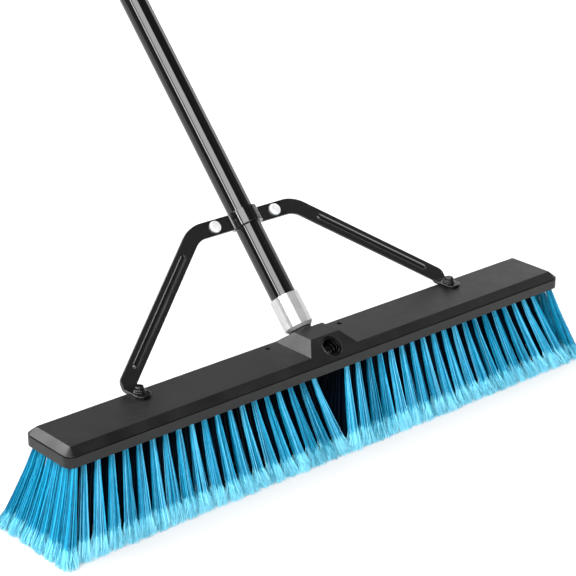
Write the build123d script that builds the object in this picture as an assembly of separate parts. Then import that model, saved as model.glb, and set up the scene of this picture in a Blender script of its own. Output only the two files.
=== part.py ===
from build123d import *
import os
from math import atan2, cos, hypot, radians, sin, tan

# A wide push broom, in millimetres.
# The origin is on the floor under the middle of the block, +X runs along the block,
# +Y points to the rear, where the handle leans, and +Z is up.

# Block: a moulded cap on a bristle base
block_length = 610.0
block_width = 66.0
block_corner_radius = 8.5
bristle_trim = 80.0
band_height = 10.5
groove_height = 1.1
groove_depth = 1.4
cap_rise = 6.1
slope_angle = 38.5
boss_rise = 10.8
boss_foot_length = 58.0
boss_top_length = 35.2
cap_wall = 3.0
cap_skin = 2.6
cap_rib = 2.0
cap_middle_length = 110.0
seam_clearance = 0.2

# Sockets in the cap, one at the front and one at the rear
handle_tilt = 42.5
socket_inset = 11.6
socket_depth = 17.0
socket_wall = 2.4
socket_block_length = 30.0
rim_diameter = 22.4
rim_least_depth = 0.4
thread_major_diameter = 19.05
thread_pitch = 5.08
thread_height = 1.8
thread_crest_width = 0.8
thread_flank_angle = 14.5
thread_clearance = 0.3
thread_runout = 2.5
spare_hole_spacing = 90.0
spare_hole_inset = 7.8
spare_hole_diameter = 5.0
spare_hole_depth = 5.5

# Bristles: each tuft is a few square strands that spread towards the floor
tuft_rows = 6
strands_per_outer_tuft = 3
first_tuft_x = 22.3
tuft_pitch = 14.2
least_end_gap = 10.0
side_row_inset = 17.0
end_row_inset = 10.0
end_corner_inset = 7.0
first_tip_x = 8.0
end_tip_overhang = 20.0
side_tip_overhang = 14.0
tuft_root_width = 5.6
outer_tip_width = 15.6
inner_tip_width = 11.0
strand_gap_share = 0.14
backing_thickness = 2.0
backing_rim = 2.5
strand_sink = 1.0

# Handle
handle_length = 1400.0
tube_diameter = 25.4
tube_wall = 1.0
ferrule_diameter = 29.2
ferrule_length = 31.5
ferrule_shoulder = 1.0
nose_diameter = 21.6
nose_stub = 1.0
nose_taper = 3.7
neck_diameter = 15.0
plug_length = 30.0
plug_clearance = 0.05
tip_end_clearance = 1.0
washer_thickness = 2.0
washer_clearance = 0.3

# Handle's end cap, with its hanging hole
end_cap_length = 46.0
end_cap_collar = 12.0
end_cap_diameter = 27.4
end_cap_thickness = 13.0
end_cap_plug = 28.0
hang_hole_diameter = 9.0
hang_hole_margin = 12.0

# Brace and its clamp
strap_width = 15.6
strap_thickness = 2.8
clamp_height = 123.7
clamp_gap = 1.2
clamp_setback = 2.3
clamp_clearance = 0.3
rear_clamp_width = 11.0
bolt_spacing = 74.0
ear_half_length = 44.0
ear_twist_length = 4.0
knee_x = 61.9
knee_outer_radius = 38.0
knee_inner_radius = 22.0
foot_x = 194.0
ankle_run = 0.0655
ankle_outer_radius = 10.0
ankle_inner_radius = 0.5
foot_overhang = 4.9
foot_bend_height = 1.7
foot_bend_radius = 3.4
foot_length = 24.4
foot_corner_radius = 6.0
rib_width = 6.4
rib_height = 1.4
rib_knee_margin = 27.0
rib_ankle_margin = 14.8

# Fasteners
bolt_diameter = 5.8
bolt_head_diameter = 12.0
bolt_head_height = 3.2
bolt_head_round = 2.0
bolt_tail = 1.5
nut_width = 9.5
nut_height = 4.6
hole_clearance = 0.2
foot_screw_diameter = 4.8
foot_screw_depth = 12.0
foot_screw_inset = 13.4
foot_washer_diameter = 12.0
foot_washer_thickness = 1.5
foot_screw_flange_diameter = 10.4
foot_screw_flange = 1.3
foot_screw_hex = 8.0
foot_screw_hex_height = 3.2
foot_screw_hex_round = 0.7
block_screw_diameter = 4.0
block_screw_depth = 2.6
block_screw_head_diameter = 7.6
block_screw_head = 1.8
first_screw_gap = 3
screw_post_diameter = 9.0
screw_fit = 0.05

# Places that follow from the sizes
parting_height = bristle_trim + band_height
top_height = parting_height + cap_rise
slope = tan(radians(slope_angle))
chamfer_run = cap_rise / slope
top_half_width = block_width / 2 - chamfer_run
top_half_length = block_length / 2 - chamfer_run
boss_top_half_width = top_half_width - boss_rise / slope
socket_reach = block_width / 2 - socket_inset
boss_top_height = top_height + boss_rise
axis_y = sin(radians(handle_tilt))
axis_z = cos(radians(handle_tilt))
mouth_height = top_height + (top_half_width - socket_reach) * slope
seat_sink = rim_diameter / 2 * tan(radians(abs(handle_tilt - slope_angle))) + rim_least_depth
seat_y = socket_reach - seat_sink * axis_y
seat_height = mouth_height - seat_sink * axis_z
handle_plane = Plane(origin=(0, seat_y, seat_height), x_dir=(1, 0, 0), z_dir=(0, axis_y, axis_z))
thread_root_radius = thread_major_diameter / 2 - thread_height
socket_radius = thread_major_diameter / 2 + thread_clearance
end_row_x = block_length / 2 - end_row_inset
tuft_columns = int((end_row_x - least_end_gap - first_tuft_x) / tuft_pitch) + 1
last_tuft_x = first_tuft_x + (tuft_columns - 1) * tuft_pitch
block_screw_gaps = (first_screw_gap, (tuft_columns + 1) // 2, tuft_columns - 2)
end_tip_x = block_length / 2 + end_tip_overhang
end_corner_y = block_width / 2 - end_corner_inset
outer_row_y = block_width / 2 - side_row_inset
outer_tip_y = block_width / 2 + side_tip_overhang
row_pitch = 2 * outer_row_y / (tuft_rows - 1)
end_row_pitch = 2 * end_corner_y / (tuft_rows - 1)
backing_top = bristle_trim + backing_thickness
backing_split_y = outer_row_y - row_pitch / 2
backing_split_x = (last_tuft_x + end_row_x) / 2
ear_back = clamp_setback - (clamp_gap + strap_thickness) / 2
clamp_front = clamp_gap / 2 + strap_thickness - clamp_setback
clamp_rear = clamp_gap / 2 + strap_thickness + clamp_setback
foot_bend_y = top_half_width + foot_overhang
foot_screw_y = foot_bend_y - foot_screw_inset


def block_outline(inset):
    """Plan outline of the block, moved in by inset, with rounded corners."""
    return RectangleRounded(block_length - 2 * inset, block_width - 2 * inset, block_corner_radius - inset)


def box_between(low, high):
    """Box from its lowest to its highest corner."""
    size = [top - bottom for bottom, top in zip(low, high)]
    return Pos(*low) * Box(*size, align=Align.MIN)


def rod(diameter, low, high):
    """Cylinder on the Z axis between two heights."""
    return Pos(0, 0, low) * Cylinder(diameter / 2, high - low, align=(Align.CENTER, Align.CENTER, Align.MIN))


def turned(*points):
    """Solid turned about Z from points of radius and height."""
    outline = Polyline(*[(radius, 0, height) for radius, height in points], close=True)
    return revolve(make_face(outline), Axis.Z)


def both_sides(part):
    """The part and its mirror image across the middle of the broom."""
    return part + mirror(part, about=Plane.YZ)


def thread_ridge(root_radius, crest_radius, low, high, growth):
    """Helical trapezoid ridge between two heights, with its flanks moved out by growth."""
    flank = tan(radians(thread_flank_angle))
    crest_half = thread_crest_width / 2 + growth + (thread_major_diameter / 2 - crest_radius) * flank
    root_half = thread_crest_width / 2 + growth + (thread_major_diameter / 2 - root_radius) * flank
    profile = Polyline(
        (root_radius, 0, low - root_half),
        (crest_radius, 0, low - crest_half),
        (crest_radius, 0, low + crest_half),
        (root_radius, 0, low + root_half),
        close=True,
    )
    helix = Helix(thread_pitch, high - low, root_radius, center=(0, 0, low))
    ridge = sweep(make_face(profile), path=helix, is_frenet=True)
    return Rot(0, 0, 360 * low / thread_pitch) * ridge


def socket_cuts():
    """Bore, rim and thread groove of one socket, about the handle's axis with the seat at zero."""
    bore_radius = thread_root_radius + thread_clearance
    bore = rod(2 * bore_radius, -socket_depth, rim_diameter)
    rim = rod(rim_diameter, 0, rim_diameter)
    groove = thread_ridge(
        thread_root_radius, socket_radius, -socket_depth + thread_runout, thread_runout, thread_clearance)
    return [bore, rim, groove]


def screw_gap_places():
    """Middles of the gaps between the tufts where the block screws go."""
    places = [first_tuft_x + (gap + 0.5) * tuft_pitch for gap in block_screw_gaps]
    return [(side * place, 0) for side in (-1, 1) for place in places]


def foot_places():
    """Middles of the two foot screws."""
    return [(-foot_x, foot_screw_y), (foot_x, foot_screw_y)]


def socket_block_depths():
    """Half depths of the socket block at the parting line and at the top of the bristles' backing."""
    end_y = seat_y - socket_depth * axis_y + socket_radius * axis_z
    end_height = seat_height - socket_depth * axis_z - socket_radius * axis_y
    lean = axis_y / axis_z
    at_parting = end_y + (parting_height - end_height) * lean + socket_wall
    at_backing = end_y + max(backing_top - end_height, 0) * lean + socket_wall
    return at_parting, at_backing, end_height - socket_wall


def make_block_cap():
    """Upper moulding: sloping slab, hip-roof boss, socket block, screw posts and hollow underside."""
    slab = Pos(0, 0, parting_height) * extrude(block_outline(0), cap_rise, taper=90 - slope_angle)
    boss = loft([
        Pos(0, 0, top_height) * Rectangle(boss_foot_length, 2 * top_half_width),
        Pos(0, 0, boss_top_height) * Rectangle(boss_top_length, 2 * boss_top_half_width),
    ])
    wide_half, narrow_half, floor_height = socket_block_depths()
    half = socket_block_length / 2
    upper_block = box_between((-half, -wide_half, backing_top), (half, wide_half, parting_height))
    lower_block = box_between((-half, -narrow_half, floor_height), (half, narrow_half, backing_top))
    pocket = box_between(
        (cap_middle_length / 2, -top_half_width + cap_wall, parting_height),
        (top_half_length - cap_wall, top_half_width - cap_wall, top_height - cap_skin))
    rib = box_between(
        (cap_middle_length / 2, -cap_rib / 2, parting_height),
        (top_half_length, cap_rib / 2, top_height - cap_skin))
    post = rod(screw_post_diameter, parting_height, top_height - cap_skin)
    foot_hole = rod(foot_screw_diameter + 2 * screw_fit, parting_height, top_height)
    screw_hole = rod(
        block_screw_diameter + 2 * screw_fit, parting_height, parting_height + block_screw_depth + screw_fit)
    cap = slab + boss + upper_block + lower_block
    cap = cap - both_sides(pocket - rib)
    cap = cap + [Pos(x, y, 0) * post for x, y in screw_gap_places() + foot_places()]
    cap = cap - [Pos(x, y, 0) * foot_hole for x, y in foot_places()]
    cap = cap - [Pos(x, y, 0) * screw_hole for x, y in screw_gap_places()]
    spare_hole = Pos(spare_hole_spacing / 2, top_half_width - spare_hole_inset, 0)
    cap = cap - both_sides(spare_hole * rod(spare_hole_diameter, top_height - spare_hole_depth, top_height))
    rear_cuts = [handle_plane * cut for cut in socket_cuts()]
    front_cuts = [Rot(0, 0, 180) * cut for cut in rear_cuts]
    return cap - rear_cuts - front_cuts


def make_bristle_base():
    """Lower moulding: a band with a pocket for the bristles' backing and a window for the socket block."""
    band = Pos(0, 0, bristle_trim) * extrude(block_outline(0), band_height - groove_height)
    lip = Pos(0, 0, parting_height - groove_height) * extrude(block_outline(groove_depth), groove_height)
    pocket = Pos(0, 0, bristle_trim) * extrude(block_outline(backing_rim), backing_thickness)
    window_half_length = socket_block_length / 2 + seam_clearance
    window_half_width = socket_block_depths()[0] + seam_clearance
    window = box_between(
        (-window_half_length, -window_half_width, bristle_trim),
        (window_half_length, window_half_width, parting_height))
    base = band + lip - pocket - window
    foot_hole = rod(
        foot_screw_diameter + 2 * screw_fit, top_height - foot_screw_depth - screw_fit, parting_height)
    foot_holes = [Pos(x, y, 0) * foot_hole for x, y in foot_places()]
    through_hole = rod(block_screw_diameter + 2 * hole_clearance, backing_top, parting_height)
    through_holes = [Pos(x, y, 0) * through_hole for x, y in screw_gap_places()]
    return base - foot_holes - through_holes


def spread(x, y):
    """Where a tuft of the right half that starts at x, y meets the floor: each half fans out by itself."""
    along = (x - first_tuft_x) / (end_row_x - first_tuft_x)
    return first_tip_x + along * (end_tip_x - first_tip_x), y * outer_tip_y / outer_row_y


def strand(root, root_size, tip, tip_size):
    """One four-sided strand from inside the backing down to the floor, where it is cut flat."""
    root_wire = (Pos(*root, bristle_trim + strand_sink) * Rectangle(*root_size)).wire()
    tip_wire = (Pos(*tip, 0) * Rectangle(*tip_size)).wire()
    return Solid.make_loft([tip_wire, root_wire], True)


def tuft(root, tip, count, tip_width, along_y=False):
    """Strands of one tuft, set side by side along X or Y and spreading apart towards the floor."""
    solid_share = 1 - strand_gap_share
    strands = []
    for index in range(count):
        step = (index + 0.5) / count - 0.5
        root_move = step * tuft_root_width
        tip_move = step * tip_width
        root_size = (solid_share * tuft_root_width / count, solid_share * tuft_root_width)
        tip_size = (solid_share * tip_width / count, solid_share * tip_width)
        if along_y:
            strands.append(strand(
                (root[0], root[1] + root_move), root_size[::-1], (tip[0], tip[1] + tip_move), tip_size[::-1]))
        else:
            strands.append(strand(
                (root[0] + root_move, root[1]), root_size, (tip[0] + tip_move, tip[1]), tip_size))
    return strands


def backing(low_x, high_x, low_y, high_y):
    """Slice of the tufts' backing, with its seam clearance all round, cut to the base's pocket."""
    block = box_between(
        (low_x + seam_clearance, low_y + seam_clearance, bristle_trim),
        (high_x - seam_clearance, high_y - seam_clearance, backing_top))
    pocket = extrude(block_outline(backing_rim + seam_clearance), backing_thickness)
    pocket = Pos(0, 0, bristle_trim) * pocket
    return (block & pocket).solid()


def column_places():
    """Places along the right half of the columns of tufts."""
    return [first_tuft_x + column * tuft_pitch for column in range(tuft_columns)]


def inner_rows():
    """Depths of the rows between the front and rear rows."""
    return [-outer_row_y + row * row_pitch for row in range(1, tuft_rows - 1)]


def make_front_row():
    """Front row of tufts on its strip of backing, which passes in front of the socket block."""
    strip = backing(-seam_clearance, backing_split_x, -block_width / 2, -backing_split_y)
    notch_half = socket_block_length / 2 + seam_clearance
    notch = box_between(
        (-notch_half, -socket_block_depths()[1] - seam_clearance, bristle_trim), (notch_half, 0, backing_top))
    strands = []
    for x in column_places():
        tip = spread(x, -outer_row_y)
        strands += tuft((x, -outer_row_y), tip, strands_per_outer_tuft, outer_tip_width)
    return both_sides((strip - notch).solid().fuse(*strands))


def make_right_end():
    """Row of tufts across the right end, on a slice of backing of the block's full width."""
    strip = backing(backing_split_x, block_length / 2, -block_width / 2, block_width / 2)
    strands = []
    for row in range(tuft_rows):
        y = -end_corner_y + row * end_row_pitch
        tip = (end_tip_x, y * outer_tip_y / end_corner_y)
        strands += tuft((end_row_x, y), tip, strands_per_outer_tuft, outer_tip_width, along_y=True)
    return strip.fuse(*strands)


def make_right_inner():
    """Inner tufts of the right half, with holes for the block screws."""
    inner_edge = socket_block_length / 2 + seam_clearance
    plate = backing(inner_edge, backing_split_x, -backing_split_y, backing_split_y)
    holes = [Pos(x, y, 0) * rod(block_screw_head_diameter + 2 * hole_clearance, bristle_trim, backing_top)
             for x, y in screw_gap_places() if x > 0]
    strands = []
    for x in column_places():
        for y in inner_rows():
            strands += tuft((x, y), spread(x, y), 1, inner_tip_width)
    return (plate - holes).solid().fuse(*strands)


def make_block_screws():
    """Screws that hold the cap on the base, driven from below, between the tufts."""
    shape = rod(block_screw_diameter, backing_top, parting_height + block_screw_depth)
    shape = shape + rod(block_screw_head_diameter, backing_top - block_screw_head, backing_top)
    return [Pos(x, y, 0) * shape for x, y in screw_gap_places()]


ferrule_start = washer_thickness + nose_stub + nose_taper
ferrule_end = ferrule_start + ferrule_length
tube_start = ferrule_start + ferrule_shoulder
tube_end = handle_length - end_cap_length


def make_handle_tube():
    """Steel tube from the ferrule's shoulder up to the end cap."""
    bore_diameter = tube_diameter - 2 * tube_wall
    tube = rod(tube_diameter, tube_start, tube_end) - rod(bore_diameter, tube_start, tube_end)
    return handle_plane * tube


def make_ferrule():
    """Aluminium collar with a tapered nose, a shoulder for the tube and a hole for the plug's neck."""
    outside = ferrule_diameter / 2
    nose = nose_diameter / 2
    tube_bore = tube_diameter / 2 + plug_clearance
    neck_bore = neck_diameter / 2 + plug_clearance
    collar = turned(
        (neck_bore, washer_thickness),
        (nose, washer_thickness),
        (nose, washer_thickness + nose_stub),
        (outside, ferrule_start),
        (outside, ferrule_end),
        (tube_bore, ferrule_end),
        (tube_bore, tube_start),
        (neck_bore, tube_start),
    )
    return handle_plane * collar


def make_threaded_tip():
    """Plug in the tube's end, with a neck and the outside thread that screws into the socket."""
    plug_diameter = tube_diameter - 2 * tube_wall - 2 * plug_clearance
    tip_low = -socket_depth + tip_end_clearance
    ridge_low = tip_low + thread_runout
    tip = rod(plug_diameter, tube_start, tube_start + plug_length)
    tip = tip + rod(neck_diameter, 0, tube_start)
    tip = tip + rod(2 * thread_root_radius, tip_low, 0)
    ridge = thread_ridge(
        thread_root_radius - thread_clearance, thread_major_diameter / 2, ridge_low, -thread_runout, 0)
    return handle_plane * (tip + ridge)


def make_seat_washer():
    """Rubber ring between the ferrule's nose and the socket's seat."""
    ring = rod(nose_diameter, 0, washer_thickness)
    ring = ring - rod(neck_diameter + 2 * washer_clearance, 0, washer_thickness)
    return handle_plane * ring


def make_handle_end_cap():
    """Moulded plug in the tube's upper end, with a collar and a flat tongue with a hanging hole."""
    plug_diameter = tube_diameter - 2 * tube_wall - 2 * plug_clearance
    collar = rod(end_cap_diameter, tube_end, tube_end + end_cap_collar)
    tongue_outline = Plane.XZ * (
        Pos(0, handle_length - end_cap_diameter / 2) * Circle(end_cap_diameter / 2)
        + Pos(0, (tube_end + handle_length - end_cap_diameter / 2) / 2)
        * Rectangle(end_cap_diameter, end_cap_length - end_cap_diameter / 2)
    )
    tongue = extrude(tongue_outline, end_cap_thickness / 2, both=True)
    tongue = tongue & rod(end_cap_diameter, tube_end, handle_length)
    hole = Pos(0, 0, handle_length - hang_hole_margin) * Rot(90, 0, 0) * Cylinder(
        hang_hole_diameter / 2, end_cap_thickness)
    plug = rod(plug_diameter, tube_end - end_cap_plug, tube_end)
    return handle_plane * (plug + collar + tongue - hole)


ear_middle = handle_plane.from_local_coords((0, ear_back, clamp_height))
foot_line = Vector(0, foot_bend_y, top_height + strap_thickness / 2)
arm_reach = (ear_middle - foot_line).length
arm_up = (ear_middle - foot_line).normalized()
arm_start = ear_half_length + ear_twist_length


def ankle_place():
    """Height of the arm's ankle, where its inner bend ends a short run above the foot's bend."""
    rounds_to_settle = 12
    height = foot_bend_height
    for _ in range(rounds_to_settle):
        turn = atan2(arm_reach - height, foot_x - knee_x)
        inner_bend = (strap_width / 2 + ankle_inner_radius) * tan((radians(90) - turn) / 2)
        height = foot_bend_height + ankle_run + inner_bend
    return height


ankle_height = ankle_place()
knee_turn = atan2(arm_reach - ankle_height, foot_x - knee_x)
knee_shift = strap_width / 2 * tan(knee_turn / 2)
ankle_shift = strap_width / 2 * tan((radians(90) - knee_turn) / 2)
arm_plane = Plane(origin=foot_line, x_dir=(1, 0, 0), z_dir=(0, -arm_up.Z, arm_up.Y))


def band_outline(setback):
    """Section across one half of the clamp: two flat ears and a half-round band over the tube."""
    inside = tube_diameter / 2 + clamp_clearance
    ear_low = setback - clamp_gap / 2 - strap_thickness
    ears = Pos(0, ear_low + strap_thickness / 2) * Rectangle(2 * ear_half_length, strap_thickness)
    front_side = Pos(0, setback - clamp_gap / 2) * Rectangle(
        4 * ear_half_length, 4 * ear_half_length, align=(Align.CENTER, Align.MAX))
    band = ears + (Circle(inside + strap_thickness) & front_side) - Circle(inside)
    corner_x = ((inside + strap_thickness) ** 2 - ear_low ** 2) ** 0.5
    corners = [vertex for vertex in band.vertices()
               if hypot(abs(vertex.X) - corner_x, vertex.Y - ear_low) < strap_thickness / 10]
    return fillet(corners, strap_thickness)


def bolt_holes():
    """Cutter for the two bolt holes, about the handle's axis."""
    hole = Pos(bolt_spacing / 2, 0, clamp_height) * Rot(90, 0, 0) * Cylinder(
        bolt_diameter / 2 + hole_clearance, 2 * tube_diameter)
    return both_sides(hole)


def clamp_half(setback, width):
    """One half of the clamp about the handle's axis, with its bolt holes."""
    strap = Pos(0, 0, clamp_height) * extrude(band_outline(setback), width / 2, both=True)
    return strap - bolt_holes()


def arm_outline():
    """Right arm in its own plane: level by the ear, slanting down, upright by the foot."""
    half = strap_width / 2
    outer_knee = (knee_x + knee_shift, arm_reach + half)
    inner_knee = (knee_x - knee_shift, arm_reach - half)
    outer_ankle = (foot_x + half, ankle_height + ankle_shift)
    inner_ankle = (foot_x - half, ankle_height - ankle_shift)
    outline = make_face(Polyline(
        (arm_start, arm_reach + half), outer_knee, outer_ankle, (foot_x + half, foot_bend_height),
        (foot_x - half, foot_bend_height), inner_ankle, inner_knee, (arm_start, arm_reach - half),
        close=True))
    rounds = (
        (outer_knee, knee_outer_radius),
        (inner_knee, knee_inner_radius),
        (outer_ankle, ankle_outer_radius),
        (inner_ankle, ankle_inner_radius),
    )
    for corner, radius in rounds:
        outline = fillet(outline.vertices().sort_by_distance((*corner, 0))[0], radius)
    return outline


def make_arm():
    """Right arm of the brace: strap with a round-backed rib, from the clamp's ear down to its foot."""
    arm = extrude(arm_outline(), strap_thickness / 2, both=True)
    knee = Vector(knee_x, arm_reach)
    run = Vector(foot_x, ankle_height) - knee
    rib_length = run.length - rib_knee_margin - rib_ankle_margin
    rib_middle = knee + run.normalized() * (rib_knee_margin + rib_length / 2)
    run_plane = Plane(origin=rib_middle, x_dir=run, z_dir=(0, 0, 1))
    rib_radius = (rib_width ** 2 / 4 + rib_height ** 2) / (2 * rib_height)
    half_run = (rib_length - rib_width) / 2
    rib = Rot(0, 90, 0) * Cylinder(rib_radius, 2 * half_run)
    rib = rib + [Pos(end * half_run, 0, 0) * Sphere(rib_radius) for end in (-1, 1)]
    rib = Pos(0, 0, strap_thickness / 2 + rib_height - rib_radius) * rib
    rib = rib & box_between((-rib_length, -strap_width, 0), (rib_length, strap_width, rib_radius))
    channel = Pos(0, 0, -strap_thickness / 2) * extrude(
        SlotOverall(rib_length - rib_height, rib_width - rib_height), rib_height)
    arm = arm + run_plane * rib - run_plane * channel
    corners = ((1, 1), (-1, 1), (-1, -1), (1, -1))
    half_thickness = strap_thickness / 2
    half_width = strap_width / 2
    ear_end = Wire.make_polygon([
        handle_plane.from_local_coords(
            (ear_half_length, ear_back + back * half_thickness, clamp_height + up * half_width))
        for back, up in corners])
    arm_end = Wire.make_polygon([
        arm_plane.from_local_coords((arm_start, arm_reach + up * half_width, -back * half_thickness))
        for back, up in corners])
    twist = Solid.make_loft([ear_end, arm_end], True)
    return arm_plane * arm + twist


def make_foot():
    """Right foot of the brace: bent forward to lie on the block, with a hole for its screw."""
    middle_height = top_height + strap_thickness / 2
    bend_top = foot_line + arm_up * foot_bend_height
    path = FilletPolyline(
        (foot_bend_y - foot_length, middle_height), (foot_bend_y, middle_height), (bend_top.Y, bend_top.Z),
        radius=foot_bend_radius)
    section = extrude(trace(path, strap_thickness), strap_width / 2, both=True)
    foot = Pos(foot_x, 0, 0) * (Plane.YZ * section)
    toes = foot.edges().filter_by(Axis.Z).group_by(Axis.Y)[0]
    foot = fillet(toes, foot_corner_radius)
    hole = Pos(foot_x, foot_screw_y, 0) * rod(
        foot_screw_diameter + 2 * hole_clearance, top_height, top_height + 2 * strap_thickness)
    return foot - hole


def make_brace():
    """One stamped strap: band and ears over the tube, two arms and two feet."""
    return handle_plane * clamp_half(clamp_setback, strap_width) + both_sides(make_arm() + make_foot())


def make_brace_clamp():
    """Rear half of the clamp, a narrower strap bolted to the brace's ears."""
    return handle_plane * mirror(clamp_half(-clamp_setback, rear_clamp_width), about=Plane.XZ)


def at_bolts(shape, offset):
    """The shape at both bolt places, its Z axis turned to the front, at an offset in front of the axis."""
    places = [Pos(side * bolt_spacing / 2, -offset, clamp_height) * Rot(90, 0, 0) for side in (-1, 1)]
    return [handle_plane * place * shape for place in places]


def make_clamp_bolts():
    """Two round-headed bolts through the ears."""
    head = rod(bolt_head_diameter, 0, bolt_head_height)
    head = fillet(head.edges().group_by(Axis.Z)[-1], bolt_head_round)
    shank = rod(bolt_diameter, -clamp_front - clamp_rear - nut_height - bolt_tail, 0)
    return at_bolts(head + shank, clamp_front)


def make_clamp_nuts():
    """Hexagon nuts behind the clamp."""
    nut = extrude(RegularPolygon(nut_width / 2, 6, major_radius=False), -nut_height)
    nut = nut - rod(bolt_diameter + 2 * screw_fit, -nut_height, 0)
    return at_bolts(nut, -clamp_rear)


def make_foot_washers():
    """Plain washers between the feet and their screws."""
    seat = top_height + strap_thickness
    washer = rod(foot_washer_diameter, seat, seat + foot_washer_thickness)
    washer = washer - rod(foot_screw_diameter + 2 * hole_clearance, seat, seat + foot_washer_thickness)
    return [Pos(x, y, 0) * washer for x, y in foot_places()]


def make_foot_screws():
    """Flanged hexagon screws that hold the feet on the block."""
    seat = top_height + strap_thickness + foot_washer_thickness
    screw = rod(foot_screw_diameter, top_height - foot_screw_depth, seat)
    screw = screw + rod(foot_screw_flange_diameter, seat, seat + foot_screw_flange)
    hexagon = extrude(RegularPolygon(foot_screw_hex / 2, 6, major_radius=False), foot_screw_hex_height)
    hexagon = chamfer(hexagon.edges().group_by(Axis.Z)[-1], foot_screw_hex_round)
    screw = screw + Pos(0, 0, seat + foot_screw_flange) * hexagon
    return [Pos(x, y, 0) * screw for x, y in foot_places()]


front_row = make_front_row()
right_end = make_right_end()
right_inner = make_right_inner()

nodes = {
    "block_cap": make_block_cap(),
    "bristle_base": make_bristle_base(),
    "front_bristles": front_row,
    "rear_bristles": mirror(front_row, about=Plane.XZ),
    "left_end_bristles": mirror(right_end, about=Plane.YZ),
    "right_end_bristles": right_end,
    "left_inner_bristles": mirror(right_inner, about=Plane.YZ),
    "right_inner_bristles": right_inner,
    "block_screws": make_block_screws(),
    "handle_tube": make_handle_tube(),
    "ferrule": make_ferrule(),
    "threaded_tip": make_threaded_tip(),
    "seat_washer": make_seat_washer(),
    "handle_end_cap": make_handle_end_cap(),
    "brace": make_brace(),
    "brace_clamp": make_brace_clamp(),
    "clamp_bolts": make_clamp_bolts(),
    "clamp_nuts": make_clamp_nuts(),
    "foot_washers": make_foot_washers(),
    "foot_screws": make_foot_screws(),
}

os.makedirs("parts", exist_ok=True)
for name, shape in nodes.items():
    solids = [solid for item in (shape if isinstance(shape, list) else [shape]) for solid in item.solids()]
    export_step(Compound(children=solids, label=name), f"parts/{name}.step")
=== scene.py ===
import math

import bmesh
import bpy
import numpy as np
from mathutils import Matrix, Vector


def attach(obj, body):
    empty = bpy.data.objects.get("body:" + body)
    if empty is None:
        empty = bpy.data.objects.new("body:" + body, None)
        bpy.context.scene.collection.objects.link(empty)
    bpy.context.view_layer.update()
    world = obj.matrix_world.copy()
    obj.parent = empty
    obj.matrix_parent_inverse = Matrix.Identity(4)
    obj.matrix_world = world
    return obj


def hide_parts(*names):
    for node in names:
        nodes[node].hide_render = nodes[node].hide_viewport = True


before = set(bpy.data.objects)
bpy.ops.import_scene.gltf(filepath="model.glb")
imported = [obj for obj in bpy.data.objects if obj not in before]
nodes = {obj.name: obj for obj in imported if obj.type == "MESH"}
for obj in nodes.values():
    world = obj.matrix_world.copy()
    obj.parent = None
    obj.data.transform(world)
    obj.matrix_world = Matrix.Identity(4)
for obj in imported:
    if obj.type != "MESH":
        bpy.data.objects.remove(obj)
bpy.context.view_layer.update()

MM = 0.001

# Places and sizes that the bristles share with the CAD model, in millimetres
TRIM = 80.0
BACKING = 2.0
BLOCK_LENGTH = 610.0
BLOCK_WIDTH = 66.0
BACKING_INSET = 2.7
BACKING_CORNER = 5.8
SEAM = 0.2
COLUMNS = 19
ROWS = 6
FIRST_TUFT_X = 22.3
TUFT_PITCH = 14.2
END_ROW_X = 295.0
END_CORNER_Y = 26.0
OUTER_ROW_Y = 16.0
SOCKET_HALF = 15.0
NOTCH_DEPTH = 21.1
SCREW_GAPS = (3, 10, 17)
SCREW_HOLE_RADIUS = 4.0
ROW_PITCH = 2 * OUTER_ROW_Y / (ROWS - 1)
END_ROW_PITCH = 2 * END_CORNER_Y / (ROWS - 1)
SPLIT_X = (FIRST_TUFT_X + (COLUMNS - 1) * TUFT_PITCH + END_ROW_X) / 2
SPLIT_Y = OUTER_ROW_Y - ROW_PITCH / 2

# Where the tufts end on the floor, in millimetres, set to the photograph
FIRST_TIP_X = 6.0
END_TIP_X = 325.0
OUTER_TIP_Y = 47.0
END_TUFT_TIP_X = 321.5
END_TUFT_TIP_Y = 44.5

# Handle axis and socket seats of the CAD model, in metres
HANDLE_TILT = math.radians(42.5)
HANDLE_AXIS = (0.0, math.sin(HANDLE_TILT), math.cos(HANDLE_TILT))
SEAT = (0.0, 0.020601, 0.098855)
FRONT_AXIS = (0.0, -HANDLE_AXIS[1], HANDLE_AXIS[2])
FRONT_SEAT = (0.0, -SEAT[1], SEAT[2])
SOCKET_RADIUS = 0.0102
NOSE_HEIGHT = 0.0038
NOSE_ALONG = SEAT[1] * HANDLE_AXIS[1] + SEAT[2] * HANDLE_AXIS[2] + NOSE_HEIGHT
COLOUR_EDGE = 0.0003

# Camera fitted to the photograph
LENS = 116.24
SENSOR_WIDTH = 36.0
CLIP_END = 100.0
CAMERA_PLACE = (-1.0656, -1.1832, 0.8083)
CAMERA_YAW = math.radians(41.047)
CAMERA_PITCH = math.radians(22.435)

# Sockets of a mix node that mixes colours, and settings of other shader nodes
MIX_FACTOR = 0
MIX_A = 6
MIX_B = 7
MIX_RESULT = 2
RAMP_MIDDLE = 0.5
BEVEL_SAMPLES = 6


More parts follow.
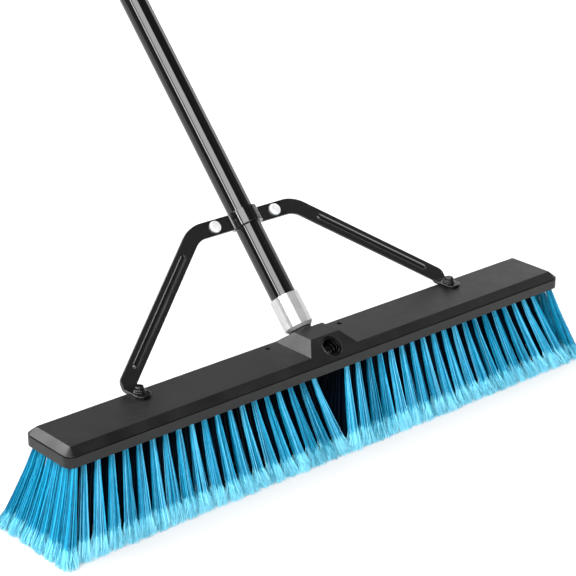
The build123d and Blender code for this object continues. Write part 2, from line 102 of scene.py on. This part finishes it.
class Nodes:
    """Shorthand for building a node tree."""

    def __init__(self, tree):
        self.tree = tree

    def add(self, kind, settings=None, **inputs):
        """Adds a node, sets its properties, and sets or links its inputs by name."""
        node = self.tree.nodes.new(kind)
        for key, value in (settings or {}).items():
            setattr(node, key, value)
        for key, value in inputs.items():
            self.put(node, key, value)
        return node

    def put(self, node, key, value):
        """Sets one input, or links it if the value is another node's output."""
        socket = node.inputs[key]
        if isinstance(value, bpy.types.NodeSocket):
            self.tree.links.new(value, socket)
        else:
            socket.default_value = value

    def math(self, operation, a, b=0.0, c=0.0, clamp=False):
        """Result of a calculation with up to three values."""
        node = self.add("ShaderNodeMath", {"operation": operation, "use_clamp": clamp})
        for index, value in enumerate((a, b, c)):
            self.put(node, index, value)
        return node.outputs[0]

    def vector_math(self, operation, a, b):
        """Node for a calculation with two vectors."""
        node = self.add("ShaderNodeVectorMath", {"operation": operation})
        self.put(node, 0, a)
        self.put(node, 1, b)
        return node

    def dot(self, vector, direction):
        """How far a vector reaches along a direction."""
        return self.vector_math("DOT_PRODUCT", vector, direction).outputs["Value"]

    def smooth(self, value, low, high, start=0.0, end=1.0):
        """Smooth step from start to end as the value goes from low to high."""
        node = self.add("ShaderNodeMapRange", {"interpolation_type": "SMOOTHSTEP"})
        for key, item in (("Value", value), ("From Min", low), ("From Max", high),
                          ("To Min", start), ("To Max", end)):
            self.put(node, key, item)
        return node.outputs["Result"]

    def noise(self, vector, scale, detail, rough):
        """Noise between 0 and 1."""
        node = self.add("ShaderNodeTexNoise", Vector=vector, Scale=scale, Detail=detail, Roughness=rough)
        return node.outputs["Fac"]

    def mix(self, factor, a, b, blend="MIX"):
        """Colour a mixed with b by the factor."""
        node = self.add("ShaderNodeMix", {"data_type": "RGBA", "blend_type": blend})
        self.put(node, MIX_FACTOR, factor)
        self.put(node, MIX_A, a)
        self.put(node, MIX_B, b)
        return node.outputs[MIX_RESULT]

    def ramp(self, factor, stops):
        """Colour ramp through stops, each a place and a colour, which start in the middle and are moved."""
        node = self.add("ShaderNodeValToRGB", Fac=factor)
        elements = node.color_ramp.elements
        while len(elements) < len(stops):
            elements.new(RAMP_MIDDLE)
        for element, (place, colour) in zip(elements, stops):
            element.position = place
            element.color = (*colour, 1.0)
        return node.outputs["Color"]

    def bump(self, height, distance, strength, edge=0.0):
        """Bumped normal, over edges that a bevel rounds by the given radius."""
        node = self.add("ShaderNodeBump", Height=height, Distance=distance, Strength=strength)
        if edge:
            bevel = self.add("ShaderNodeBevel", {"samples": BEVEL_SAMPLES}, Radius=edge)
            self.put(node, "Normal", bevel.outputs["Normal"])
        return node.outputs["Normal"]


def new_material(name):
    """New node material, its shader and its place in the piece's own space."""
    material = bpy.data.materials.new(name)
    material.use_nodes = True
    kit = Nodes(material.node_tree)
    shader = material.node_tree.nodes["Principled BSDF"]
    place = kit.add("ShaderNodeTexCoord").outputs["Object"]
    return material, kit, shader, place


def grey(value):
    """Opaque grey."""
    return (value, value, value, 1.0)


def plastic(name, dark, light, roughness, edge, grain_scale, sockets=()):
    """Textured moulded plastic: fine grain, faint clouding, soft edges, and smooth threaded sockets with
    painted shade inside.
    """
    speck_share = 0.35
    smoother = 0.04
    rougher = 0.05
    socket_painted_shade = 0.0008
    socket_roughness_share = 0.35
    material, kit, shader, place = new_material(name)
    grain = kit.noise(place, grain_scale, detail=2.0, rough=0.6)
    cloud = kit.noise(place, scale=45.0, detail=4.0, rough=0.6)
    speck = kit.noise(place, scale=420.0, detail=2.0, rough=0.5)
    clouds = kit.math("MULTIPLY", cloud, 1 - speck_share)
    specks = kit.math("MULTIPLY", speck, speck_share)
    tone = kit.smooth(kit.math("ADD", clouds, specks), low=0.3, high=0.7)
    colour = kit.mix(tone, dark, light)
    rough = kit.smooth(cloud, low=0.3, high=0.7, start=roughness - smoother, end=roughness + rougher)
    # Painted shade inside each threaded socket: a darker colour there, with a smoother finish.
    for seat, axis in sockets:
        offset = kit.vector_math("SUBTRACT", place, seat)
        across = kit.vector_math("CROSS_PRODUCT", offset.outputs[0], axis)
        away = kit.add("ShaderNodeVectorMath", {"operation": "LENGTH"})
        kit.put(away, 0, across.outputs[0])
        outside = kit.smooth(away.outputs["Value"], low=SOCKET_RADIUS, high=SOCKET_RADIUS + COLOUR_EDGE)
        colour = kit.mix(outside, grey(socket_painted_shade), colour)
        share = kit.math("MULTIPLY_ADD", outside, 1 - socket_roughness_share, socket_roughness_share)
        rough = kit.math("MULTIPLY", rough, share)
    kit.put(shader, "Base Color", colour)
    kit.put(shader, "Roughness", rough)
    kit.put(shader, "Specular IOR Level", 0.34)
    kit.put(shader, "Normal", kit.bump(grain, distance=0.00012, strength=0.55, edge=edge))
    return material


def painted_steel(name, dark, light, roughness, ior, edge=0.0):
    """Black coat on steel: slight orange peel and a little dust in its gloss."""
    rougher = 0.03
    material, kit, shader, place = new_material(name)
    wave = kit.noise(place, scale=260.0, detail=2.0, rough=0.4)
    dust = kit.noise(place, scale=900.0, detail=3.0, rough=0.6)
    kit.put(shader, "Base Color", kit.mix(kit.smooth(dust, low=0.45, high=0.75), dark, light))
    rough = kit.smooth(dust, low=0.4, high=0.8, start=roughness, end=roughness + rougher)
    kit.put(shader, "Roughness", rough)
    kit.put(shader, "IOR", ior)
    kit.put(shader, "Normal", kit.bump(wave, distance=0.0002, strength=0.05, edge=edge))
    return material


def turned_metal(name, dark, light, metallic, roughness, line_scale, direction, painted_shade_below=None):
    """Bright metal with fine turning lines around a direction, with painted shade below a place along it:
    darker and rougher there.
    """
    smoother = 0.04
    rougher = 0.06
    painted_shade_black = 0.015
    painted_shade_roughness = 0.6
    material, kit, shader, place = new_material(name)
    along = kit.dot(place, direction)
    vector = kit.add("ShaderNodeCombineXYZ", X=along)
    lines = kit.noise(vector.outputs[0], line_scale, detail=3.0, rough=0.6)
    cloud = kit.noise(place, scale=130.0, detail=3.0, rough=0.55)
    kit.put(shader, "Metallic", metallic)
    colour = kit.mix(kit.smooth(cloud, low=0.35, high=0.65), dark, light)
    rough = kit.smooth(lines, low=0.3, high=0.7, start=roughness - smoother, end=roughness + rougher)
    # Painted shade below the place along the direction: a near-black colour and a rougher finish.
    if painted_shade_below:
        unshaded = kit.smooth(along, low=painted_shade_below - COLOUR_EDGE, high=painted_shade_below + COLOUR_EDGE)
        colour = kit.mix(unshaded, grey(painted_shade_black), colour)
        painted_shade_rough = kit.math("MULTIPLY_ADD", unshaded, -painted_shade_roughness, painted_shade_roughness)
        rough = kit.math("ADD", rough, painted_shade_rough)
    kit.put(shader, "Base Color", colour)
    kit.put(shader, "Roughness", rough)
    kit.put(shader, "Normal", kit.bump(lines, distance=0.00004, strength=0.2, edge=0.0004))
    return material


def rubber(name, dark, light):
    """Matt rubber with a dusty bloom."""
    material, kit, shader, place = new_material(name)
    bloom = kit.noise(place, scale=600.0, detail=4.0, rough=0.6)
    kit.put(shader, "Base Color", kit.mix(kit.smooth(bloom, low=0.35, high=0.75), dark, light))
    kit.put(shader, "Roughness", kit.smooth(bloom, low=0.3, high=0.7, start=0.6, end=0.78))
    kit.put(shader, "Normal", kit.bump(bloom, distance=0.0001, strength=0.4))
    return material


def filament(name, stops, shade, painted_highlight, roughness, gloss):
    """Bristle plastic: its colour changes along each filament and at random from one to the next, with
    painted shade on the darker filaments, most along the body above the fringe, and painted highlights added
    to the palest.
    """
    smoother = 0.06
    rougher = 0.1
    streak_step = 0.12
    tint_step = 0.05
    mean_step = 0.085
    streak_amount = 0.5
    material, kit, shader, place = new_material(name)
    along = kit.add("ShaderNodeAttribute", {"attribute_name": "along"}).outputs["Fac"]
    tint = kit.add("ShaderNodeAttribute", {"attribute_name": "tint"}).outputs["Fac"]
    streak = kit.noise(place, scale=240.0, detail=2.0, rough=0.5)
    uneven = kit.math("MULTIPLY_ADD", tint, tint_step, -mean_step)
    uneven = kit.math("MULTIPLY_ADD", streak, streak_step, uneven)
    colour = kit.ramp(kit.math("ADD", along, uneven, clamp=True), stops)
    # Painted shade: a darker copy of the colour, used where the tint, the streaks and the place along give a
    # low amount, most along the body above the fringe.
    painted_shade_colour = kit.mix(1.0, colour, shade, blend="MULTIPLY")
    # Painted highlights: the palest filaments get a pale colour added.
    colour = kit.mix(kit.smooth(tint, low=0.8, high=0.97), colour, painted_highlight, blend="ADD")
    lit = kit.math("ADD", tint, kit.smooth(along, low=0.77, high=0.87, start=-0.28, end=-0.02))
    amount = kit.math("MULTIPLY_ADD", streak, streak_amount, lit, clamp=True)
    kit.put(shader, "Base Color", kit.mix(amount, painted_shade_colour, colour))
    rough = kit.smooth(tint, low=0.0, high=1.0, start=roughness - smoother, end=roughness + rougher)
    kit.put(shader, "Roughness", rough)
    kit.put(shader, "Specular IOR Level", gloss)
    return material


# Block plastic, with painted shade inside the two handle sockets.
moulded_black = plastic(
    "moulded_black", dark=grey(0.0014), light=grey(0.0034), roughness=0.42, edge=0.0006, grain_scale=1700.0,
    sockets=((SEAT, HANDLE_AXIS), (FRONT_SEAT, FRONT_AXIS)))
gloss_black = painted_steel(
    "gloss_black_coat", dark=grey(0.003), light=grey(0.005), roughness=0.045, ior=1.45)
satin_black = painted_steel(
    "satin_black_coat", dark=grey(0.003), light=grey(0.006), roughness=0.07, ior=1.48, edge=0.0013)
# The ferrule gets painted shade on its nose, below NOSE_ALONG, next to the washer.
aluminium = turned_metal(
    "turned_aluminium", dark=grey(0.42), light=grey(0.46), metallic=0.55, roughness=0.17, line_scale=5200.0,
    direction=HANDLE_AXIS, painted_shade_below=NOSE_ALONG)
zinc = turned_metal(
    "bright_zinc", dark=(0.7, 0.7, 0.71, 1.0), light=(0.86, 0.86, 0.87, 1.0), metallic=0.5, roughness=0.3,
    line_scale=1500.0, direction=(1.0, 0.0, 0.0))
nylon = plastic(
    "black_nylon", dark=grey(0.006), light=grey(0.011), roughness=0.38, edge=0.0005, grain_scale=1200.0)
black_rubber = rubber("black_rubber", dark=grey(0.009), light=grey(0.022))
# Blue bristles: painted shade on the darker filaments and painted highlights on the palest.
blue_filament = filament(
    "blue_filament",
    stops=[(0.0, (0.013, 0.41, 0.67)), (0.5, (0.011, 0.39, 0.65)), (0.8, (0.016, 0.4, 0.66)),
           (0.83, (0.125, 0.57, 0.77)), (0.9, (0.15, 0.6, 0.79)), (1.0, (0.18, 0.63, 0.81))],
    shade=(0.03, 0.22, 0.26, 1.0), painted_highlight=(0.08, 0.06, 0.03, 1.0), roughness=0.36, gloss=0.15)
black_filament = filament(
    "black_filament",
    stops=[(0.0, (0.0005, 0.004, 0.009)), (0.8, (0.0006, 0.005, 0.012)), (1.0, (0.002, 0.012, 0.02))],
    shade=(0.5, 0.5, 0.5, 1.0), painted_highlight=(0.0, 0.0, 0.0, 1.0), roughness=0.55, gloss=0.04)

for name, material in (
        ("block_cap", moulded_black), ("bristle_base", moulded_black), ("block_screws", zinc),
        ("handle_tube", gloss_black), ("ferrule", aluminium), ("threaded_tip", nylon),
        ("seat_washer", black_rubber), ("handle_end_cap", nylon), ("brace", satin_black),
        ("brace_clamp", satin_black), ("clamp_bolts", zinc), ("clamp_nuts", zinc),
        ("foot_washers", satin_black), ("foot_screws", satin_black)):
    mesh = nodes[name].data
    mesh.materials.clear()
    mesh.materials.append(material)

# Shape of the filaments: sizes in millimetres, the rest as shares, counts and angles
SIDES = 3
GOLDEN_ANGLE = 2.39996
ANGLE_JITTER = 0.3
ROOT_SINK = 0.8
RADIUS_RANGE = (0.85, 1.15)
TAPER_START = 0.75
TAPER_START_RADIUS = 0.95
WHOLE_TIP_RADIUS = 0.8
SPLIT_TIP_RADIUS = 0.55
TINT_SPREAD = (0.65, 0.5)
SPLIT_RANGE = (0.75, 1.2)
SPLIT_TIP_LIFT = 0.35
FLAG_BEND = 0.25
FLAG_TAPER = (0.6, 0.7, 0.5)
FLAG_PALER = 0.4


class Strands:
    """Collects tapered three-sided filaments as arrays, with how far along each point is and a tint."""

    def __init__(self, seed):
        self.random = np.random.default_rng(seed)
        self.points = []
        self.faces = []
        self.along = []
        self.tint = []
        self.count = 0

    def add(self, spine, radii, along, tint):
        """One filament along its spine points, closed at both ends."""
        rings = len(spine)
        turn = self.random.uniform(0, 2 * math.pi)
        angles = turn + np.arange(SIDES) * 2 * math.pi / SIDES
        circle = np.stack([np.cos(angles), np.sin(angles), np.zeros(SIDES)], 1)
        ring_points = spine[:, None, :] + radii[:, None, None] * circle[None, :, :]
        self.points.append(ring_points.reshape(-1, 3))
        self.along.append(np.repeat(along, SIDES))
        self.tint.append(np.full(rings * SIDES, tint))
        base = self.count
        for ring in range(rings - 1):
            low = base + SIDES * ring
            high = low + SIDES
            for corner in range(SIDES):
                following = (corner + 1) % SIDES
                self.faces.append((low + corner, high + corner, high + following, low + following))
        last = base + SIDES * (rings - 1)
        self.faces.append((base, base + 1, base + 2))
        self.faces.append((last + 2, last + 1, last))
        self.count += rings * SIDES

    def tuft(self, root, tip, style):
        """One tuft from its root to its tip, given as x and y: a fan of filaments."""
        draw = self.random
        lean = draw.normal(0, style["lean"], 2)
        for index in range(style["count"]):
            reach = math.sqrt((index + 0.5) / style["count"])
            angle = index * GOLDEN_ANGLE + draw.uniform(-ANGLE_JITTER, ANGLE_JITTER)
            offset = np.array([math.cos(angle), math.sin(angle)]) * reach
            start = np.array(root) + offset * style["root_radius"]
            square = offset / max(abs(math.cos(angle)), abs(math.sin(angle))) ** style["square"]
            end = np.array(tip) + lean + square * style["tip_radii"] + draw.normal(0, style["stray"], 2)
            self.filament(start, end, style)

    def filament(self, start, end, style):
        """One filament, bowed and a little wavy, whose lower end may split into finer ones."""
        draw = self.random
        share = style["rings"]
        wave = draw.normal(0, style["wave"], (2, 2))
        top = TRIM + ROOT_SINK
        path = []
        for s in share:
            flow = s ** style["flare"]
            sway = wave[0] * math.sin(math.pi * s) + wave[1] * math.sin(2 * math.pi * s)
            place = start + (end - start) * flow + sway
            path.append((*place, top - s * top))
        path = np.array(path)
        lift = abs(draw.normal(0, style["uneven"]))
        path[-1, 2] = lift + style["split"] * SPLIT_TIP_LIFT
        radius = style["radius"] * draw.uniform(*RADIUS_RANGE)
        tip_radius = SPLIT_TIP_RADIUS if style["flags"] else WHOLE_TIP_RADIUS
        radii = radius * np.interp(share, [0, TAPER_START, 1], [1.0, TAPER_START_RADIUS, tip_radius])
        tint = draw.beta(*TINT_SPREAD) * style["tint"]
        self.add(path * MM, radii * MM, np.array(share), tint)
        if style["flags"]:
            self.flags(path, end, tint, style)

    def flags(self, path, end, tint, style):
        """Finer ends into which a filament splits a little above the floor."""
        draw = self.random
        split = 1 - style["split"] * draw.uniform(*SPLIT_RANGE) / TRIM
        joint = np.array([np.interp(split, style["rings"], path[:, axis]) for axis in range(3)])
        radii = np.array(FLAG_TAPER) * style["flag_radius"]
        along = np.array([split, (1 + split) / 2, 1.0])
        for _ in range(style["flags"]):
            spread_out = draw.normal(0, 1, 2) * style["flag_spread"]
            tip = np.array([*(end + spread_out), abs(draw.normal(0, style["uneven"]))])
            middle = joint + (tip - joint) * 0.5 + np.array([*draw.normal(0, FLAG_BEND, 2), 0])
            spine = np.array([joint, middle, tip])
            flag_tint = min(1.0, tint + draw.uniform(0, FLAG_PALER))
            self.add(spine * MM, radii * MM, along, flag_tint)

    def mesh(self, name):
        """All filaments as one mesh, with how far along and tint as attributes of its points."""
        mesh = bpy.data.meshes.new(name)
        mesh.from_pydata(np.concatenate(self.points).tolist(), [], self.faces)
        for key, values in (("along", self.along), ("tint", self.tint)):
            layer = mesh.attributes.new(key, "FLOAT", "POINT")
            layer.data.foreach_set("value", np.concatenate(values).astype(np.float32))
        mesh.update()
        return mesh


def round_points(centre, radius, angles):
    """Points on a circle at the given angles."""
    return [(centre[0] + radius * math.cos(t), centre[1] + radius * math.sin(t)) for t in angles]


def backing_mesh(outline, holes, name):
    """Slab of the tufts' backing with round holes, as a mesh between its two heights."""
    hole_steps = 24
    weld_distance = 0.01
    curve = bpy.data.curves.new(name, "CURVE")
    curve.dimensions = "2D"
    curve.fill_mode = "BOTH"
    curve.extrude = BACKING / 2 * MM
    angles = np.arange(hole_steps) * 2 * math.pi / hole_steps
    loops = [outline] + [round_points(hole, SCREW_HOLE_RADIUS, angles) for hole in holes]
    for loop in loops:
        spline = curve.splines.new("POLY")
        spline.points.add(len(loop) - 1)
        for point, (x, y) in zip(spline.points, loop):
            point.co = (x * MM, y * MM, 0, 1)
        spline.use_cyclic_u = True
    shape = bpy.data.objects.new(name, curve)
    bpy.context.scene.collection.objects.link(shape)
    bpy.context.view_layer.update()
    mesh = bpy.data.meshes.new_from_object(shape.evaluated_get(bpy.context.evaluated_depsgraph_get()))
    bpy.data.objects.remove(shape)
    work = bmesh.new()
    work.from_mesh(mesh)
    bmesh.ops.remove_doubles(work, verts=work.verts, dist=weld_distance * MM)
    bmesh.ops.recalc_face_normals(work, faces=work.faces)
    for vertex in work.verts:
        vertex.co.z += (TRIM + BACKING / 2) * MM
    work.to_mesh(mesh)
    work.free()
    return mesh


def spread(x, y):
    """Tip place of a tuft of the long rows with its root at x, y: each half fans out by itself."""
    side = 1 if x > 0 else -1
    share = (abs(x) - FIRST_TUFT_X) / (END_ROW_X - FIRST_TUFT_X)
    return side * (FIRST_TIP_X + share * (END_TIP_X - FIRST_TIP_X)), y * OUTER_TIP_Y / OUTER_ROW_Y


# Styles of tufts, in millimetres and shares
FRONT = dict(
    count=56, root_radius=1.75, tip_radii=(6.2, 5.0), square=0.8, lean=0.4, stray=0.4, wave=0.22, flare=1.1,
    rings=(0.0, 0.3, 0.6, 0.8, 1.0), radius=0.44, flags=6, split=16.0, flag_spread=(3.0, 1.2),
    flag_radius=0.3, uneven=0.6, tint=1.0)
REAR = dict(FRONT, count=44, radius=0.5, flags=3)
END = dict(
    FRONT, count=96, root_radius=(2.4, 3.6), tip_radii=(6.4, 7.4), flags=4, flag_spread=(1.2, 3.0),
    tint=0.8)
INNER = dict(
    count=34, root_radius=2.4, tip_radii=(8.4, 13.0), square=0.9, lean=0.5, stray=0.6, wave=0.3, flare=0.95,
    rings=(0.0, 0.5, 1.0), radius=0.66, flags=0, split=0.0, uneven=1.5, tint=1.0)


def bristles(name, tufts, style, outline, holes, seed):
    """One bristle piece in place of its CAD node: tufts, each a root and a tip, and their backing."""
    strands = Strands(seed)
    for root, tip in tufts:
        strands.tuft(root, tip, style)
    mesh = strands.mesh(name)
    slab = backing_mesh(outline, holes, name + "_backing")
    work = bmesh.new()
    work.from_mesh(mesh)
    filaments = len(work.faces)
    work.from_mesh(slab)
    work.faces.ensure_lookup_table()
    for index, face in enumerate(work.faces):
        face.material_index = 0 if index < filaments else 1
    work.to_mesh(mesh)
    work.free()
    bpy.data.meshes.remove(slab)
    outer = style is not INNER
    mesh.materials.append(blue_filament if outer else black_filament)
    mesh.materials.append(moulded_black)
    piece = bpy.data.objects.new(name, mesh)
    bpy.context.scene.collection.objects.link(piece)
    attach(piece, "head")
    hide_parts(name)


def strip_outline(side):
    """Front or rear strip of backing, with a notch for the socket block."""
    end = SPLIT_X - SEAM
    inner = side * (SPLIT_Y + SEAM)
    outer = side * (BLOCK_WIDTH / 2 - BACKING_INSET)
    notch = side * NOTCH_DEPTH
    half = SOCKET_HALF + SEAM
    return [
        (-end, outer), (-end, inner), (-half, inner), (-half, notch),
        (half, notch), (half, inner), (end, inner), (end, outer)]


def end_outline(side):
    """Slice of backing across one end, with its two outer corners rounded."""
    corner_steps = 6
    end = BLOCK_LENGTH / 2 - BACKING_INSET - BACKING_CORNER
    edge = BLOCK_WIDTH / 2 - BACKING_INSET - BACKING_CORNER
    seam = SPLIT_X + SEAM
    points = [(seam, edge + BACKING_CORNER), (seam, -edge - BACKING_CORNER)]
    for centre, start in ((-edge, -math.pi / 2), (edge, 0.0)):
        angles = [start + step * math.pi / (2 * corner_steps) for step in range(corner_steps + 1)]
        points += round_points((end, centre), BACKING_CORNER, angles)
    return [(side * x, y) for x, y in points]


def inner_outline(side):
    """Slice of backing of one half between the front and rear strips."""
    low = side * (SOCKET_HALF + 2 * SEAM)
    high = side * (SPLIT_X - SEAM)
    half = SPLIT_Y - SEAM
    return [(low, -half), (high, -half), (high, half), (low, half)]


columns = [FIRST_TUFT_X + column * TUFT_PITCH for column in range(COLUMNS)]
rows = [-OUTER_ROW_Y + row * ROW_PITCH for row in range(1, ROWS - 1)]
end_rows = [-END_CORNER_Y + row * END_ROW_PITCH for row in range(ROWS)]
screw_places = [FIRST_TUFT_X + (gap + 0.5) * TUFT_PITCH for gap in SCREW_GAPS]
for name, side, style, seed in (("front_bristles", -1, FRONT, 11), ("rear_bristles", 1, REAR, 12)):
    roots = [(half * x, side * OUTER_ROW_Y) for half in (-1, 1) for x in columns]
    tufts = [(root, spread(*root)) for root in roots]
    bristles(name, tufts, style, strip_outline(side), [], seed)
for word, side, end_seed, inner_seed in (("left", -1, 13, 15), ("right", 1, 14, 16)):
    flare = END_TUFT_TIP_Y / END_CORNER_Y
    tufts = [((side * END_ROW_X, y), (side * END_TUFT_TIP_X, y * flare)) for y in end_rows]
    bristles(word + "_end_bristles", tufts, END, end_outline(side), [], end_seed)
    roots = [(side * x, y) for x in columns for y in rows]
    tufts = [(root, spread(*root)) for root in roots]
    holes = [(side * x, 0.0) for x in screw_places]
    bristles(word + "_inner_bristles", tufts, INNER, inner_outline(side), holes, inner_seed)

# Pale floor, which glows a little where it is seen, so that it is white
FLOOR_HALF = 30.0
FLOOR_ALBEDO = 0.57
FLOOR_GLOW = 0.13
floor_corners = [(x * FLOOR_HALF, y * FLOOR_HALF, 0) for x, y in ((-1, -1), (1, -1), (1, 1), (-1, 1))]
floor_mesh = bpy.data.meshes.new("studio_floor")
floor_mesh.from_pydata(floor_corners, [], [(0, 1, 2, 3)])
floor = bpy.data.objects.new("studio_floor", floor_mesh)
bpy.context.scene.collection.objects.link(floor)
floor_material, kit, shader, _ = new_material("studio_floor")
paths = kit.add("ShaderNodeLightPath").outputs
seen = kit.math("ADD", paths["Is Camera Ray"], paths["Is Glossy Ray"], clamp=True)
seen = kit.math("ADD", seen, paths["Is Transmission Ray"], clamp=True)
kit.put(shader, "Base Color", grey(FLOOR_ALBEDO))
kit.put(shader, "Roughness", 1.0)
kit.put(shader, "Specular IOR Level", 0.0)
kit.put(shader, "Emission Color", grey(1.0))
kit.put(shader, "Emission Strength", kit.math("MULTIPLY", seen, FLOOR_GLOW))
floor_mesh.materials.append(floor_material)

# Softboxes, far away: direction, up, half width and half height and soft border as tangents, strength
SOFTBOXES = (
    ((-0.55, -0.411, 0.728), HANDLE_AXIS, 0.36, 0.2, 0.04, 10.7),
    ((-0.897, -0.09, 0.434), HANDLE_AXIS, 0.035, 0.2, 0.02, 25.0),
    ((-0.26, 0.69, 0.68), (0, 0, 1), 0.32, 0.26, 0.05, 10.5),
    ((-0.10, 0.35, 0.93), (0, 1, 0), 0.16, 0.16, 0.05, 9.0),
    ((-0.85, -0.50, 0.16), (0, 0, 1), 0.3, 0.13, 0.08, 3.5),
    ((0.93, -0.15, 0.26), (0, 0, 1), 0.45, 0.22, 0.1, 0.8),
    ((0.87, 0.24, 0.42), (0, 0, 1), 0.26, 0.14, 0.08, 2.0),
    ((0.58, -0.58, 0.57), (0, 0, 1), 0.16, 0.16, 0.12, 0.25),
)


def softbox(kit, direction, centre, up, half_width, half_height, border, strength):
    """Rectangular softbox far away: its strength inside the rectangle, and a soft border."""
    least_ahead = 0.05
    centre = Vector(centre).normalized()
    up = (Vector(up) - centre * centre.dot(Vector(up))).normalized()
    side = centre.cross(up)
    ahead = kit.dot(direction, centre)
    level = kit.math("GREATER_THAN", ahead, least_ahead)
    safe = kit.math("MAXIMUM", ahead, least_ahead)
    for axis, half in ((side, half_width), (up, half_height)):
        offset = kit.math("ABSOLUTE", kit.math("DIVIDE", kit.dot(direction, axis), safe))
        level = kit.math("MULTIPLY", level, kit.smooth(offset, half, half + border, start=1.0, end=0.0))
    return kit.math("MULTIPLY", level, strength)


# Studio surroundings: dim in front, brighter to the rear and the right, with a pale horizon, and softboxes
AMBIENT = 0.1
world = bpy.data.worlds.new("studio")
bpy.context.scene.world = world
world.use_nodes = True
kit = Nodes(world.node_tree)
background = world.node_tree.nodes["Background"]
direction = kit.add("ShaderNodeTexCoord").outputs["Generated"]
to_right = kit.dot(direction, (1, 0, 0))
to_rear = kit.dot(direction, (0, 1, 0))
height = kit.dot(direction, (0, 0, 1))
rear = kit.smooth(to_rear, low=0.0, high=0.5)
rear_level = kit.smooth(to_right, low=0.42, high=0.8, start=0.19, end=1.02)
rear = kit.math("MULTIPLY_ADD", rear, rear_level, AMBIENT)
level = kit.math("MULTIPLY", rear, kit.smooth(height, low=0.6, high=0.95, start=1.0, end=0.6))
horizon = kit.smooth(height, low=0.02, high=0.2, start=1.0, end=0.0)
horizon = kit.math("MULTIPLY", horizon, kit.smooth(to_right, low=-0.7, high=-0.2))
level = kit.math("MAXIMUM", level, horizon)
for box in SOFTBOXES:
    level = kit.math("ADD", level, softbox(kit, direction, *box))
kit.put(background, "Color", grey(1.0))
kit.put(background, "Strength", level)

# Fill lamp in front
FILL_SIZE = (2.2, 1.6)
FILL_POWER = 66.0
FILL_PLACE = (-0.9, -3.2, 1.5)
FILL_TARGET = (0, 0, 0.1)
fill = bpy.data.lights.new("front_fill", "AREA")
fill.shape = "RECTANGLE"
fill.size, fill.size_y = FILL_SIZE
fill.energy = FILL_POWER
fill_lamp = bpy.data.objects.new("front_fill", fill)
fill_lamp.location = FILL_PLACE
fill_ray = Vector(FILL_TARGET) - fill_lamp.location
fill_lamp.rotation_euler = fill_ray.to_track_quat("-Z", "Y").to_euler()
bpy.context.scene.collection.objects.link(fill_lamp)

camera_data = bpy.data.cameras.new("camera")
camera_data.lens = LENS
camera_data.sensor_width = SENSOR_WIDTH
camera_data.clip_end = CLIP_END
camera = bpy.data.objects.new("camera", camera_data)
camera.location = CAMERA_PLACE
camera.rotation_euler = (math.pi / 2 - CAMERA_PITCH, 0.0, -CAMERA_YAW)
bpy.context.scene.collection.objects.link(camera)
bpy.context.scene.camera = camera

bpy.context.scene.view_settings.view_transform = "Standard"
